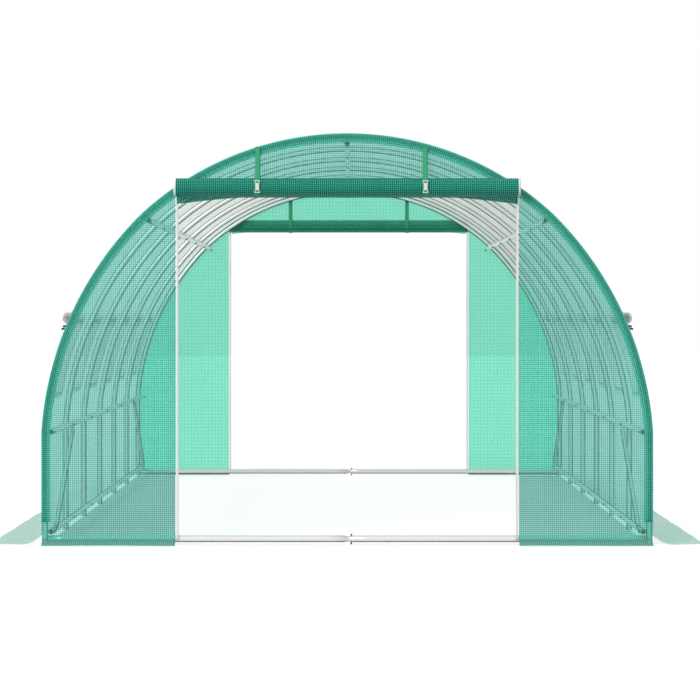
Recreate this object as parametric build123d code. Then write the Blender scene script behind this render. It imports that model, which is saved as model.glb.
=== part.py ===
from build123d import *
import math
import os

# Walk-in polytunnel, in millimetres. Z is up, the tunnel runs along Y and its front is at -Y.
# The origin is on the ground, in the middle of the tunnel.

os.makedirs("parts", exist_ok=True)

# Hoops, measured on the centreline of their tube
half_span = 1480.0
leg_height = 555.0
shoulder_half_width = 992.0
shoulder_height = 1611.0
haunch_radius = 1640.0
crown_height = 1997.0
bay_length = 1000.0
bay_count = 6

# Tubes and their joints. A tube is drawn with flat sides that lie against its real circle.
tube_radius = 14.0
tube_wall = 1.5
tube_sides = 8
tube_bore_depth = 40.0
brace_radius = 11.0
brace_inset = 45.0
seat_clearance = 0.4
rail_overhang = 13.0
base_rail_height = 64.0

# The cross tube between the feet of an end hoop, in two lengths with a swaged neck between them
base_tube_radius = 17.0
base_tube_sides = 12
base_tube_lift = 12.0
neck_radius = 14.0
neck_start = -11.0
neck_length = 34.0

# Cover
cover_thickness = 2.0
cover_clearance = 0.3
wall_bottom = 58.0
skirt_width = 250.0
skirt_fall = 100.0
gable_hem_height = 22.0
gable_flap_width = 90.0
gable_flap_fall = 50.0
edge_band_width = 60.0

# Doorway, the same at both ends, with its head measured down from the crown
door_half_width = 824.0
door_head_drop = 247.0
zip_width = 18.0
zip_thickness = 4.0
door_roll_radius = 46.0
door_roll_sides = 24
door_roll_overhang = 12.0

# Straps that hold the rolled door, with their tops measured down from the crown
strap_offset = 409.0
front_strap_shift = -28.0
strap_width = 28.0
strap_thickness = 2.0
strap_outer_drop = 48.0
strap_inner_drop = 85.0
buckle_width = 30.0
buckle_height = 60.0
buckle_thickness = 5.0
buckle_waist = 17.0
buckle_slot_width = 18.0
buckle_slot_height = 8.0

# Side windows, one in each bay
window_width = 450.0
window_sill_height = 732.0
window_head_height = 1084.0
mesh_thickness = 1.0
window_roll_radius = 27.0
window_roll_sides = 12
window_roll_overhang = 30.0

tunnel_length = bay_length * bay_count
hoop_places = [bay_length * i - tunnel_length / 2 for i in range(bay_count + 1)]
bay_middles = [bay_length * (i + 0.5) - tunnel_length / 2 for i in range(bay_count)]
tube_corner = tube_radius / math.cos(math.pi / tube_sides)
purlin_drop = 2 * tube_radius + seat_clearance
cover_inside = tube_corner + cover_clearance
cover_outside = cover_inside + cover_thickness
wall_outside = half_span + cover_outside
gable_inside = tunnel_length / 2 + cover_inside
gable_outside = gable_inside + cover_thickness
band_outside = gable_outside + cover_thickness
panel_edge = door_half_width + zip_width
door_head_height = crown_height - door_head_drop
roll_centre = band_outside + cover_clearance + door_roll_radius
far = 4 * half_span


def save(shape, name):
    shape.label = name
    export_step(shape, "parts/" + name + ".step")


def save_left_and_right(shape, name):
    save(mirror(shape, about=Plane.YZ), name + "_left")
    save(shape, name + "_right")


def save_front_and_rear(shape, front_name, rear_name):
    save(shape, front_name)
    save(mirror(shape, about=Plane.XZ), rear_name)


def both_sides(shape):
    return Compound([shape, mirror(shape, about=Plane.YZ)])


def haunch_line():
    start = (half_span, leg_height)
    end = (shoulder_half_width, shoulder_height)
    return RadiusArc(start, end, -haunch_radius)


def crown_line():
    start = (shoulder_half_width, shoulder_height)
    return ThreePointArc(start, (0, crown_height), (-shoulder_half_width, shoulder_height))


def tube(path, radius, sides=tube_sides):
    section = RegularPolygon(radius, sides, major_radius=False, rotation=180 / sides)
    start = Plane(origin=path @ 0, z_dir=path % 0)
    return sweep(start * section, path=path, transition=Transition.ROUND)


def straight_tube(start, end, radius, sides=tube_sides):
    return tube(Line(start, end), radius, sides)


# A roll of film along a line is drawn with its edges on its real circle.
def film_roll(start, end, radius, sides):
    return straight_tube(start, end, radius * math.cos(math.pi / sides), sides)


# A hoop is two straight legs, two haunch tubes and a crown, with a slight kink at each joint.
def hoop():
    leg = Line((half_span, 0), (half_span, leg_height))
    side = leg + haunch_line()
    outline = side + crown_line() + mirror(side, about=Plane.YZ)
    return tube(Wire((Plane.XZ * outline).edges()), tube_radius)


# A purlin is a tube along the tunnel, open at its ends. It lies against the inside of every hoop.
def purlin():
    reach = tunnel_length / 2 + rail_overhang
    bar = straight_tube((0, -reach, 0), (0, reach, 0), tube_radius)
    for end in (-reach, reach):
        bore_start = (0, end - tube_bore_depth, 0)
        bore_end = (0, end + tube_bore_depth, 0)
        bar -= straight_tube(bore_start, bore_end, tube_radius - tube_wall)
    return bar


# A purlin at a hoop joint faces midway between the two tubes that meet there.
def purlin_place(before, after):
    slope = before % 1 + after % 0
    lean = math.degrees(math.atan2(slope.Z, -slope.X))
    return Pos(before @ 1) * Rotation(0, lean, 0) * Pos(0, 0, -purlin_drop)


def shoulder_purlin_place():
    return purlin_place(Plane.XZ * haunch_line(), Plane.XZ * crown_line())


def side_rail_place():
    return purlin_place(Line((half_span, 0, 0), (half_span, 0, leg_height)), Plane.XZ * haunch_line())


def base_rail_place():
    return Pos(half_span - purlin_drop, 0, base_rail_height)


# The cross tube is coped round the legs at its ends.
def base_tube():
    y = base_tube_radius - tube_radius - tunnel_length / 2
    z = base_tube_radius + base_tube_lift
    neck_end = neck_start + neck_length
    bar = straight_tube((-half_span, y, z), (neck_start, y, z), base_tube_radius, base_tube_sides)
    bar += straight_tube((neck_start, y, z), (neck_end, y, z), neck_radius, base_tube_sides)
    bar += straight_tube((neck_end, y, z), (half_span, y, z), base_tube_radius, base_tube_sides)
    for side in (-1, 1):
        foot = (side * half_span, -tunnel_length / 2, 0)
        knee = (side * half_span, -tunnel_length / 2, leg_height)
        bar -= straight_tube(foot, knee, tube_radius + seat_clearance)
    return bar


# A brace runs from the foot of an end hoop up to the side rail at the next hoop.
def corner_brace():
    low_rail = base_rail_place()
    high_rail = side_rail_place()
    reach = tunnel_length / 2 + rail_overhang
    foot = low_rail.position + Vector(0, brace_inset - tunnel_length / 2, 0)
    head = high_rail.position + Vector(0, bay_length - tunnel_length / 2 - brace_inset, 0)
    bar = straight_tube(foot, head, brace_radius)
    seat = straight_tube((0, -reach, 0), (0, reach, 0), tube_radius + seat_clearance)
    return bar - low_rail * seat - high_rail * seat


# The part of the cross-section inside the hoop line, moved outwards by a distance.
def hoop_region(distance):
    haunch = haunch_line()
    other_haunch = mirror(haunch, about=Plane.YZ)
    bottom = -half_span
    legs = Polyline((-half_span, leg_height), (-half_span, bottom), (half_span, bottom), (half_span, leg_height))
    outline = make_face([haunch, crown_line(), other_haunch, legs])
    return offset(outline, distance, kind=Kind.TANGENT)


def zone(points):
    return make_face(Polyline(*points, close=True))


def rectangle_zone(low_x, high_x, low_z, high_z):
    return zone([(low_x, low_z), (high_x, low_z), (high_x, high_z), (low_x, high_z)])


# The cover is cut into strips along the tube joints.
def shoulder_ray():
    reach = far / shoulder_half_width
    return (shoulder_half_width * reach, leg_height + (shoulder_height - leg_height) * reach)


def wall_zone():
    return rectangle_zone(0, far, wall_bottom, leg_height)


def haunch_zone():
    return zone([(0, leg_height), (far, leg_height), shoulder_ray()])


def roof_zone():
    return zone([(0, leg_height), shoulder_ray(), (0, shoulder_ray()[1])])


def cover_strip(region):
    ring = hoop_region(cover_outside) - hoop_region(cover_inside)
    return Plane.XZ * extrude(ring & region, amount=gable_outside, both=True)


def window_box(y):
    height = window_head_height - window_sill_height
    opening = Box(far, window_width, height, align=(Align.MIN, Align.CENTER, Align.MIN))
    return Pos(0, y, window_sill_height) * opening


def haunch_cover():
    strip = cover_strip(haunch_zone())
    for y in bay_middles:
        strip -= window_box(y)
    return strip


# Insect mesh closes each window opening, flush with the inside of the cover.
def window_mesh():
    ring = hoop_region(cover_inside + mesh_thickness) - hoop_region(cover_inside)
    strip = Plane.XZ * extrude(ring & haunch_zone(), amount=gable_outside, both=True)
    return Compound([(strip & window_box(y)).solid() for y in bay_middles])


# The flap of each window is rolled up and tied along the head of the window.
def window_rolls():
    arc = haunch_line()
    centre = arc.arc_center
    away = haunch_radius + cover_outside + cover_clearance + window_roll_radius
    height = window_head_height + window_roll_radius
    angle = math.asin((height - centre.Y) / away)
    x = centre.X + away * math.cos(angle)
    half = window_width / 2 + window_roll_overhang
    return Compound([film_roll((x, y - half, height), (x, y + half, height), window_roll_radius,
                               window_roll_sides) for y in bay_middles])


# A skirt falls in a curve from a wall's hem to the ground and lies flat outside it.
# Its section is drawn with the wall's outside at X = 0 and the ground at Y = 0.
def skirt_section(hem_height, fall, width):
    curve_radius = (fall ** 2 + hem_height ** 2) / (2 * hem_height)
    curve = Pos(fall, curve_radius) * (Circle(curve_radius) - Circle(curve_radius - cover_thickness))
    curve &= rectangle_zone(0, fall, 0, hem_height)
    return curve + rectangle_zone(fall, width, 0, cover_thickness)


def side_skirt():
    section = Pos(wall_outside, 0) * skirt_section(wall_bottom + cover_thickness, skirt_fall, skirt_width)
    return Plane.XZ * extrude(section, amount=gable_outside, both=True)


# A plane across the front of the tunnel, its X pointing forwards and its Y up.
def front_plane(x, depth):
    return Plane(origin=(x, -depth, 0), x_dir=(0, -1, 0), z_dir=(-1, 0, 0))


def gable_flaps():
    section = skirt_section(gable_hem_height + cover_thickness, gable_flap_fall, gable_flap_width)
    return both_sides(front_plane(wall_outside, band_outside) * extrude(section, amount=wall_outside - panel_edge))


def gable_sheet(region, inside, outside):
    return Plane.XZ.offset(inside) * extrude(region, amount=outside - inside)


# Each gable panel has a doubled band along the hoop, which laps the end of the cover.
def gable_panel(region, hem_region):
    sheet = gable_sheet(hoop_region(cover_inside) & region, gable_inside, gable_outside)
    inner_line = hoop_region(cover_inside - edge_band_width)
    band = hoop_region(cover_outside) - inner_line
    doubled = (band & region) + (hoop_region(cover_inside) & hem_region)
    return sheet + gable_sheet(doubled, gable_outside, band_outside)


def side_panel():
    region = rectangle_zone(panel_edge, far, gable_hem_height, far)
    hem = rectangle_zone(panel_edge, far, gable_hem_height, gable_hem_height + zip_width)
    return gable_panel(region, hem)


def head_panel():
    region = rectangle_zone(-panel_edge, panel_edge, door_head_height, far)
    hem = rectangle_zone(-panel_edge, panel_edge, door_head_height, door_head_height + zip_width)
    return gable_panel(region, hem)


def door_zips():
    height = door_head_height - door_roll_radius - gable_hem_height
    strip = Box(zip_width, zip_thickness, height, align=(Align.MIN, Align.MAX, Align.MIN))
    return both_sides(Pos(door_half_width, -gable_inside, gable_hem_height) * strip)


# The rolled door; the zip tape on its edges shows as a narrower coil at each end.
def door_roll():
    half = panel_edge + door_roll_overhang
    film_half = half - zip_width
    film = film_roll((-film_half, 0, 0), (film_half, 0, 0), door_roll_radius, door_roll_sides)
    tape = film_roll((-half, 0, 0), (half, 0, 0), door_roll_radius - zip_thickness, door_roll_sides)
    return Pos(0, -roll_centre, door_head_height) * (film + tape)


# A strap loops from the outside of the gable round the roll and up the inside.
def strap_line():
    radius = door_roll_radius + cover_clearance + strap_thickness / 2
    centre = Vector(roll_centre - gable_outside, door_head_height)
    top = Vector(cover_thickness + cover_clearance + strap_thickness / 2, crown_height - strap_outer_drop)
    inner_x = -cover_thickness - cover_clearance - strap_thickness / 2
    inner_knee = Vector(inner_x, door_head_height)
    rise = top - centre
    outer_angle = math.degrees(math.atan2(rise.Y, rise.X) - math.acos(radius / rise.length))
    inner_angle = 180 + math.degrees(math.acos(radius / (centre - inner_knee).length))
    loop = CenterArc(centre, radius, outer_angle, inner_angle - 360 - outer_angle)
    inner_top = Vector(inner_x, crown_height - strap_inner_drop)
    return [Line(top, loop @ 0), loop, Line(loop @ 1, inner_knee), Line(inner_knee, inner_top)]


def door_straps():
    section = trace(strap_line(), strap_thickness)
    strap = front_plane(strap_offset, gable_outside) * extrude(section, amount=strap_width / 2, both=True)
    return both_sides(strap)


# The buckle is a waisted plate with a slot at each end, lying against the strap.
def door_buckles():
    half_width = buckle_width / 2
    half_height = buckle_height / 2
    half_waist = buckle_waist / 2
    side = ThreePointArc((half_width, -half_height), (half_waist, 0), (half_width, half_height))
    other = mirror(side, about=Plane.YZ)
    top = Line((half_width, half_height), (-half_width, half_height))
    plate = make_face([side, other, top, mirror(top, about=Plane.XZ)])
    slot_place = half_height - buckle_slot_height
    for place in (-slot_place, slot_place):
        plate -= Pos(0, place) * Rectangle(buckle_slot_width, buckle_slot_height)
    depth = roll_centre + door_roll_radius + 2 * cover_clearance + strap_thickness
    buckle = Plane.XZ.offset(depth) * extrude(Pos(strap_offset, door_head_height) * plate, amount=buckle_thickness)
    return both_sides(buckle)


one_hoop = hoop()
for number, y in enumerate(hoop_places):
    save(Pos(0, y, 0) * one_hoop, "hoop_" + str(number + 1))

one_purlin = purlin()
save(Pos(0, 0, crown_height - purlin_drop) * one_purlin, "ridge_purlin")
save_left_and_right(shoulder_purlin_place() * one_purlin, "shoulder_purlin")
save_left_and_right(side_rail_place() * one_purlin, "side_rail")
save_left_and_right(base_rail_place() * one_purlin, "base_rail")
save_front_and_rear(base_tube(), "front_base_tube", "rear_base_tube")
save_front_and_rear(both_sides(corner_brace()), "front_braces", "rear_braces")

save_left_and_right(cover_strip(wall_zone()), "wall_cover")
save_left_and_right(haunch_cover(), "haunch_cover")
save_left_and_right(cover_strip(roof_zone()), "roof_cover")
save_left_and_right(side_skirt(), "side_skirt")
save_left_and_right(window_mesh(), "window_mesh")
save_left_and_right(window_rolls(), "window_rolls")

right_panel = side_panel()
save_front_and_rear(right_panel, "front_panel_right", "rear_panel_right")
save_front_and_rear(mirror(right_panel, about=Plane.YZ), "front_panel_left", "rear_panel_left")
save_front_and_rear(head_panel(), "front_head_panel", "rear_head_panel")
save_front_and_rear(gable_flaps(), "front_skirts", "rear_skirts")
save_front_and_rear(door_zips(), "front_zips", "rear_zips")
save_front_and_rear(door_roll(), "front_door_roll", "rear_door_roll")
for fitting, name in ((door_straps(), "straps"), (door_buckles(), "buckles")):
    save(Pos(front_strap_shift, 0, 0) * fitting, "front_" + name)
    save(mirror(fitting, about=Plane.XZ), "rear_" + name)
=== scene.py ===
import math
import bpy
import numpy as np
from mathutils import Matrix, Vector


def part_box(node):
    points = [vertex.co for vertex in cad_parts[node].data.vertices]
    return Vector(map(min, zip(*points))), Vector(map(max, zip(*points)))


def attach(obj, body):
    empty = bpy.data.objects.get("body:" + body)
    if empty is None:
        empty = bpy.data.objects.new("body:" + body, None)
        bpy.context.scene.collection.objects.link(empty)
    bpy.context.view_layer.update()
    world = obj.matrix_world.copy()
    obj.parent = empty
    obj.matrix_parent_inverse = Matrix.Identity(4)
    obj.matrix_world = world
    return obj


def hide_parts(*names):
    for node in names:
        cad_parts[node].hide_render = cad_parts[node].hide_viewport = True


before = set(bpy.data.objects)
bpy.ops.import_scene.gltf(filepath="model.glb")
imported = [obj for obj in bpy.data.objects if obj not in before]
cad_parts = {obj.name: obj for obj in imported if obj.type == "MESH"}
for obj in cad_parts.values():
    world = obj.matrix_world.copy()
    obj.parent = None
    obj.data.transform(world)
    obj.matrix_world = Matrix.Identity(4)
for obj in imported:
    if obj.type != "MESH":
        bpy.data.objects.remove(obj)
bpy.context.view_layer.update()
scene = bpy.context.scene
scene.view_settings.view_transform = "Standard"

# Everything is in metres, and the tunnel runs along Y with its front at -Y and its left side at -X.
hoop = dict(halfSpan=1.480, legHeight=0.555, shoulderHalf=0.992, shoulderHeight=1.611,
            haunchRadius=1.640, crownHeight=1.997, tubeRadius=0.014, lipHeight=0.0008,
            lipLength=0.006, count=7, bay=1.0, sides=24, paintedShade=(0.46, 0.88))
cover = dict(outside=0.0175, thickness=0.0012, gableDepth=3.0165, pitch=0.010,
             yarn=0.0018, hemHeight=0.022, wallBottom=0.058, skirtFall=0.100, skirtWidth=0.250)
door = dict(half=0.824, tape=0.018, headHeight=1.750)
bothEnds = (("front", -1), ("rear", 1))
bothSides = (("left", -1), ("right", 1))

hoopPlaces = hoop["bay"] * (np.arange(hoop["count"]) - (hoop["count"] - 1) / 2)
bayMiddles = (hoopPlaces[:-1] + hoopPlaces[1:]) / 2
crownRadius = (hoop["shoulderHalf"] ** 2 + (hoop["crownHeight"] - hoop["shoulderHeight"]) ** 2) \
    / 2 / (hoop["crownHeight"] - hoop["shoulderHeight"])


# Meshes

# Coordinates that vary along rows, along columns or not at all, put together as points.
def pointGrid(*parts):
    return np.stack(np.broadcast_arrays(*parts), -1)


# A name in one word, such as gablePanelFrontLeft.
def named(first, *words):
    return first + "".join(word.capitalize() for word in words)


# A grid with its columns the other way round where needed, which turns its faces over.
def turnOver(grid, needed):
    return grid[:, ::-1] if needed else grid


# 0 below the start, 1 above the end and a smooth step between.
def smoothStep(value, start, end):
    part = np.clip((value - start) / (end - start), 0, 1)
    return part * part * (3 - 2 * part)


# Angles evenly round a circle.
def fullTurn(count):
    return np.linspace(0, 2 * np.pi, count, endpoint=False)


def addObject(name, data):
    thing = bpy.data.objects.new(name, data)
    scene.collection.objects.link(thing)
    return thing


def meshPiece(name, vertices, faces, uv=None, smooth=True):
    mesh = bpy.data.meshes.new(name)
    mesh.from_pydata(np.asarray(vertices, float).tolist(), [], np.asarray(faces).tolist())
    if uv is not None:
        corners = np.zeros(len(mesh.loops), np.int32)
        mesh.loops.foreach_get("vertex_index", corners)
        layer = mesh.uv_layers.new(name="UVMap")
        layer.data.foreach_set("uv", uv.reshape(-1, 2)[corners].astype(np.float32).ravel())
    mesh.polygons.foreach_set("use_smooth", np.full(len(mesh.polygons), smooth))
    mesh.validate()
    mesh.update()
    return addObject(name, mesh)


# A surface through one grid of points, or a list of them: each point joins the next along its row and its
# column, and closed columns join their last point to their first. The UV map is given, or is two of the
# coordinates. The tone is each point's painted shade: 0 none, 1 fully shaded, and below 0 paler.
def gridPiece(name, grids, closeColumns=False, keep=None, uv=None, tone=None, smooth=True):
    grids = grids if isinstance(grids, list) else [grids]
    faces, start = [], 0
    for rows, columns in (grid.shape[:2] for grid in grids):
        index = start + np.arange(rows * columns).reshape(rows, columns)
        index = np.concatenate([index, index[:, :1]], 1) if closeColumns else index
        quads = np.stack([index[:-1, :-1], index[:-1, 1:], index[1:, 1:], index[1:, :-1]], -1)
        faces.append(quads.reshape(-1, 4) if keep is None else quads[keep])
        start += rows * columns
    vertices = np.concatenate([grid.reshape(-1, 3) for grid in grids])
    uv = vertices[:, list(uv)] if isinstance(uv, tuple) else uv
    piece = meshPiece(name, vertices, np.concatenate(faces), uv, smooth)
    if tone is not None:
        layer = piece.data.attributes.new("shadeTone", "FLOAT", "POINT")
        tones = [np.broadcast_to(tone, grid.shape[:2]).ravel() for grid in grids]
        layer.data.foreach_set("value", np.concatenate(tones).astype(np.float32))
    return piece


# A ring carried along a path: each point is centre + radius * (cos * side + sin * up), with side held
# across the path and the Y axis, and up at right angles to the path and side.
def tubeGrid(path, radii, sides):
    along = np.gradient(path, axis=0)
    along /= np.linalg.norm(along, axis=1)[:, None]
    side = np.cross(along, (0.0, 1.0, 0.0))
    side /= np.linalg.norm(side, axis=1)[:, None]
    up = np.cross(side, along)
    turn = fullTurn(sides)
    ring = np.cos(turn)[None, :, None] * side[:, None] + np.sin(turn)[None, :, None] * up[:, None]
    return path[:, None] + radii.reshape(-1, 1, 1) * ring


# Adds a first and last ring drawn in to the path, which closes the tube's ends.
def closeEnds(grid):
    middles = grid.mean(1, keepdims=True)
    drawn = middles + (grid - middles) * 1e-3
    return np.concatenate([drawn[:1], grid, drawn[-1:]])


# Materials, body, slot and CAD nodes. A sheet also gets its thickness: about its surface, or inside it
# where the offset is -1.
def finishPiece(piece, materials, nodes=(), thickness=None, innerSlot=0, offset=0.0):
    for material in materials:
        piece.data.materials.append(material)
    if thickness:
        solid = piece.modifiers.new("wall", "SOLIDIFY")
        solid.thickness = thickness
        solid.offset = offset
        solid.use_even_offset = False
        solid.material_offset = innerSlot
    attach(piece, "root")
    if nodes:
        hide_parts(*nodes)


# Tubes, or stacks of rings, in one metal.
def tubePiece(name, grids, metal, nodes=(), tone=None, smooth=True):
    piece = gridPiece(name, grids, closeColumns=True, tone=tone, smooth=smooth)
    finishPiece(piece, [metal], nodes)


# Materials

# Sets a node's inputs, by name or number: another node's socket is linked, and a number or colour is set.
def feed(tree, node, inputs):
    for label, value in inputs.items():
        socket = node.inputs[label]
        if isinstance(value, bpy.types.NodeSocket):
            tree.links.new(value, socket)
        else:
            socket.default_value = (*value, 1.0) if socket.type == "RGBA" else value
    return node


def addNode(tree, kind, inputs=None, **settings):
    node = tree.nodes.new("ShaderNode" + kind)
    for label, value in settings.items():
        setattr(node, label, value)
    return feed(tree, node, inputs or {})


def maths(tree, operation, *values):
    return addNode(tree, "Math", dict(enumerate(values)), operation=operation).outputs[0]


# A value times a factor plus an amount.
def scaleAdd(tree, value, factor, amount):
    return maths(tree, "MULTIPLY_ADD", value, factor, amount)


def mixColours(tree, share, first, second):
    inputs = {"Factor": share, "A": first, "B": second}
    return addNode(tree, "Mix", inputs, data_type="RGBA").outputs["Result"]


def toneColour(tree, colour, tone):
    return addNode(tree, "VectorMath", {0: colour, "Scale": tone}, operation="SCALE").outputs[0]


def noiseField(tree, vector, scale):
    return addNode(tree, "TexNoise", {"Vector": vector, "Scale": scale, "Detail": 3.0}).outputs["Fac"]


def shadeTone(tree):
    return addNode(tree, "Attribute", attribute_name="shadeTone").outputs["Fac"]


def bumpFrom(tree, height, strength, distance):
    inputs = {"Height": height, "Strength": strength, "Distance": distance}
    return addNode(tree, "Bump", inputs).outputs["Normal"]


def ownMap(tree):
    return addNode(tree, "UVMap", uv_map="UVMap").outputs[0]


def objectPlace(tree):
    return addNode(tree, "TexCoord").outputs["Object"]


# A node group holding an effect: inputs are (name, kind, default), and the caller wires what is inside.
def newEffect(name, inputs, outputs):
    group = bpy.data.node_groups.new(name, "ShaderNodeTree")
    for label, kind, value in inputs:
        socket = group.interface.new_socket(label, in_out="INPUT", socket_type="NodeSocket" + kind)
        if value is not None:
            socket.default_value = value
    for label in outputs:
        group.interface.new_socket(label, in_out="OUTPUT", socket_type="NodeSocketFloat")
    return group, group.nodes.new("NodeGroupInput").outputs, group.nodes.new("NodeGroupOutput")


# Scrim: yarns every pitch in both directions. A yarn's mask is 1 within half its width of the line.
def makeScrimEffect():
    group, entry, result = newEffect("scrimGrid", [("Vector", "Vector", None), ("Pitch", "Float", 0.01),
                                                   ("Yarn", "Float", 0.0012)], ("Mask", "Height"))
    split = addNode(group, "SeparateXYZ", {0: entry["Vector"]})
    lines = []
    for axis in ("X", "Y"):
        place = maths(group, "DIVIDE", split.outputs[axis], entry["Pitch"])
        part = maths(group, "SUBTRACT", maths(group, "FRACT", place), 0.5)
        away = maths(group, "MULTIPLY", maths(group, "ABSOLUTE", part), entry["Pitch"])
        lines.append(maths(group, "LESS_THAN", maths(group, "DIVIDE", away, entry["Yarn"]), 0.5))
    feed(group, result, {"Mask": maths(group, "MAXIMUM", *lines), "Height": maths(group, "ADD", *lines)})
    return group


# Galvanised skin: a cell pattern for spangle and a slow noise for dulling.
def makeSpangleEffect():
    group, entry, result = newEffect("zincSpangle", [("Vector", "Vector", None), ("Size", "Float", 160.0)],
                                     ("Tone", "Dulling"))
    cells = addNode(group, "TexVoronoi", {"Vector": entry["Vector"], "Scale": entry["Size"]})
    grey = addNode(group, "RGBToBW", {0: cells.outputs["Color"]})
    feed(group, result, {"Tone": grey.outputs[0], "Dulling": noiseField(group, entry["Vector"], 9.0)})
    return group


scrimEffect = makeScrimEffect()
spangleEffect = makeSpangleEffect()


# An effect with a material's own values; what it puts out is read by name.
def placeEffect(tree, effect, vector, **values):
    return addNode(tree, "Group", {"Vector": vector, **values}, node_tree=effect).outputs


def newMaterial(name):
    material = bpy.data.materials.new(name)
    material.use_nodes = True
    return material, material.node_tree, material.node_tree.nodes["Principled BSDF"]


filmLook = dict(roughness=0.42, specular=0.2, cloudScale=3.0, cloudTone=(0.16, 0.92), darkest=0.5,
                bump=(0.5, 0.0006))


# Film: clear squares between opaque yarns. The film lets part of the light straight through, coloured by
# the tint, and glows a little with what falls on its other face. A tone on the mesh darkens it, painted
# shade, or makes it paler below 0.
def makeFilm(name, clearColour, yarnColour, clearAlpha, yarnAlpha, glow=0.35, shadowAlpha=0.25,
             tint=(1.0, 1.0, 1.0)):
    material, tree, shader = newMaterial(name)
    vector = ownMap(tree)
    scrim = placeEffect(tree, scrimEffect, vector, Pitch=cover["pitch"], Yarn=cover["yarn"])
    cloud = scaleAdd(tree, noiseField(tree, vector, filmLook["cloudScale"]), *filmLook["cloudTone"])
    tone = maths(tree, "MULTIPLY", cloud, scaleAdd(tree, shadeTone(tree), -filmLook["darkest"], 1.0))
    colour = toneColour(tree, mixColours(tree, scrim["Mask"], clearColour, yarnColour), tone)
    feed(tree, shader, {"Base Color": colour, "Roughness": filmLook["roughness"],
                        "Specular IOR Level": filmLook["specular"],
                        "Normal": bumpFrom(tree, scrim["Height"], *filmLook["bump"])})
    translucent = addNode(tree, "BsdfTranslucent", {"Color": colour})
    body = addNode(tree, "MixShader", {0: glow, 1: shader.outputs[0], 2: translucent.outputs[0]})
    clear = addNode(tree, "BsdfTransparent", {"Color": tint})
    spread = scaleAdd(tree, scrim["Mask"], yarnAlpha - clearAlpha, clearAlpha)
    rays = addNode(tree, "LightPath").outputs
    onShadow = maths(tree, "MAXIMUM", rays["Is Shadow Ray"], rays["Is Diffuse Ray"])
    spread = maths(tree, "MULTIPLY", spread, scaleAdd(tree, onShadow, shadowAlpha - 1.0, 1.0))
    shown = addNode(tree, "MixShader", {0: spread, 1: clear.outputs[0], 2: body.outputs[0]})
    feed(tree, tree.nodes["Material Output"], {"Surface": shown.outputs[0]})
    return material


steelLook = dict(spangleSize=170.0, spangleTone=(0.10, 0.95), patches=(0.5, 0.70), specular=0.3,
                 paintedShade=(0.055, 0.060, 0.058), edgeRoughness=0.45, bump=(0.06, 0.0004))


# Galvanised tube: spangled zinc, turned dark, grey and rough where the mesh's tone marks it: painted shade.
def makeSteel(name, colour, roughness, metallic):
    material, tree, shader = newMaterial(name)
    spangle = placeEffect(tree, spangleEffect, objectPlace(tree), Size=steelLook["spangleSize"])
    bright = toneColour(tree, colour, scaleAdd(tree, spangle["Tone"], *steelLook["spangleTone"]))
    patchy = scaleAdd(tree, spangle["Dulling"], *steelLook["patches"])
    edge = maths(tree, "MINIMUM", maths(tree, "MULTIPLY", shadeTone(tree), patchy), 1.0)
    rough = scaleAdd(tree, spangle["Dulling"], 0.16, roughness - 0.08)
    feed(tree, shader, {"Base Color": mixColours(tree, edge, bright, steelLook["paintedShade"]),
                        "Metallic": scaleAdd(tree, edge, -metallic, metallic),
                        "Roughness": scaleAdd(tree, edge, steelLook["edgeRoughness"], rough),
                        "Specular IOR Level": steelLook["specular"],
                        "Normal": bumpFrom(tree, spangle["Tone"], *steelLook["bump"])})
    return material


# Woven goods: a fine weave of ribs both ways in the piece's own UV map.
def makeWeave(name, colour, dark, pitch):
    material, tree, shader = newMaterial(name)
    vector = ownMap(tree)
    weave = placeEffect(tree, scrimEffect, vector, Pitch=pitch, Yarn=pitch * 0.7)
    cloud = maths(tree, "MULTIPLY", noiseField(tree, vector, 40.0), 0.35)
    base = mixColours(tree, weave["Mask"], dark, colour)
    feed(tree, shader, {"Base Color": mixColours(tree, cloud, base, dark), "Roughness": 0.75,
                        "Normal": bumpFrom(tree, weave["Height"], 0.5, 0.0004)})
    return material


# Insect mesh: fine yarns both ways with open holes between them, from the same scrim pattern.
def makeNet(name, colour, pitch, yarn):
    material, tree, shader = newMaterial(name)
    vector = ownMap(tree)
    net = placeEffect(tree, scrimEffect, vector, Pitch=pitch, Yarn=yarn)
    dark = tuple(part * 0.8 for part in colour)
    feed(tree, shader, {"Base Color": mixColours(tree, noiseField(tree, vector, 20.0), dark, colour),
                        "Roughness": 0.7, "Alpha": net["Mask"],
                        "Normal": bumpFrom(tree, net["Height"], 0.4, 0.0003)})
    return material


# Moulded plastic: faint orange-peel bump and a little tone variation.
def makePlastic(name, colour):
    material, tree, shader = newMaterial(name)
    vector = objectPlace(tree)
    dark = tuple(part * 0.88 for part in colour)
    feed(tree, shader, {"Base Color": mixColours(tree, noiseField(tree, vector, 60.0), dark, colour),
                        "Roughness": 0.4,
                        "Normal": bumpFrom(tree, noiseField(tree, vector, 900.0), 0.08, 0.0003)})
    return material


steel = makeSteel("galvanisedTube", (0.78, 0.79, 0.78), 0.32, 0.50)
boltSteel = makeSteel("zincBolt", (0.10, 0.10, 0.10), 0.45, 0.6)
# The front and rear gables are one film coloured apart, the front paler and the rear a deeper green, for how
# each is lit: painted light.
gableFilm = makeFilm("gableFilm", (0.52, 0.86, 0.79), (0.07, 0.32, 0.24), 0.15, 0.55,
                     tint=(0.70, 0.98, 0.945))
rearFilm = makeFilm("rearGableFilm", (0.36, 0.86, 0.68), (0.05, 0.31, 0.22), 0.15, 0.50,
                    tint=(0.56, 0.965, 0.85))
outerFilm = makeFilm("coverFilmOutside", (0.09, 0.50, 0.37), (0.29, 0.77, 0.60), 0.46, 0.76)
# The cover's inside face is pale where the real film is green: painted light for the daylight coming through
# the film.
innerFilm = makeFilm("coverFilmInside", (0.96, 0.965, 0.94), (0.83, 0.86, 0.83), 0.70, 0.92, glow=0.5)
bandFilm = makeFilm("bandFilm", (0.06, 0.44, 0.36), (0.28, 0.80, 0.69), 0.46, 0.70, tint=(0.56, 0.94, 0.86))
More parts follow.
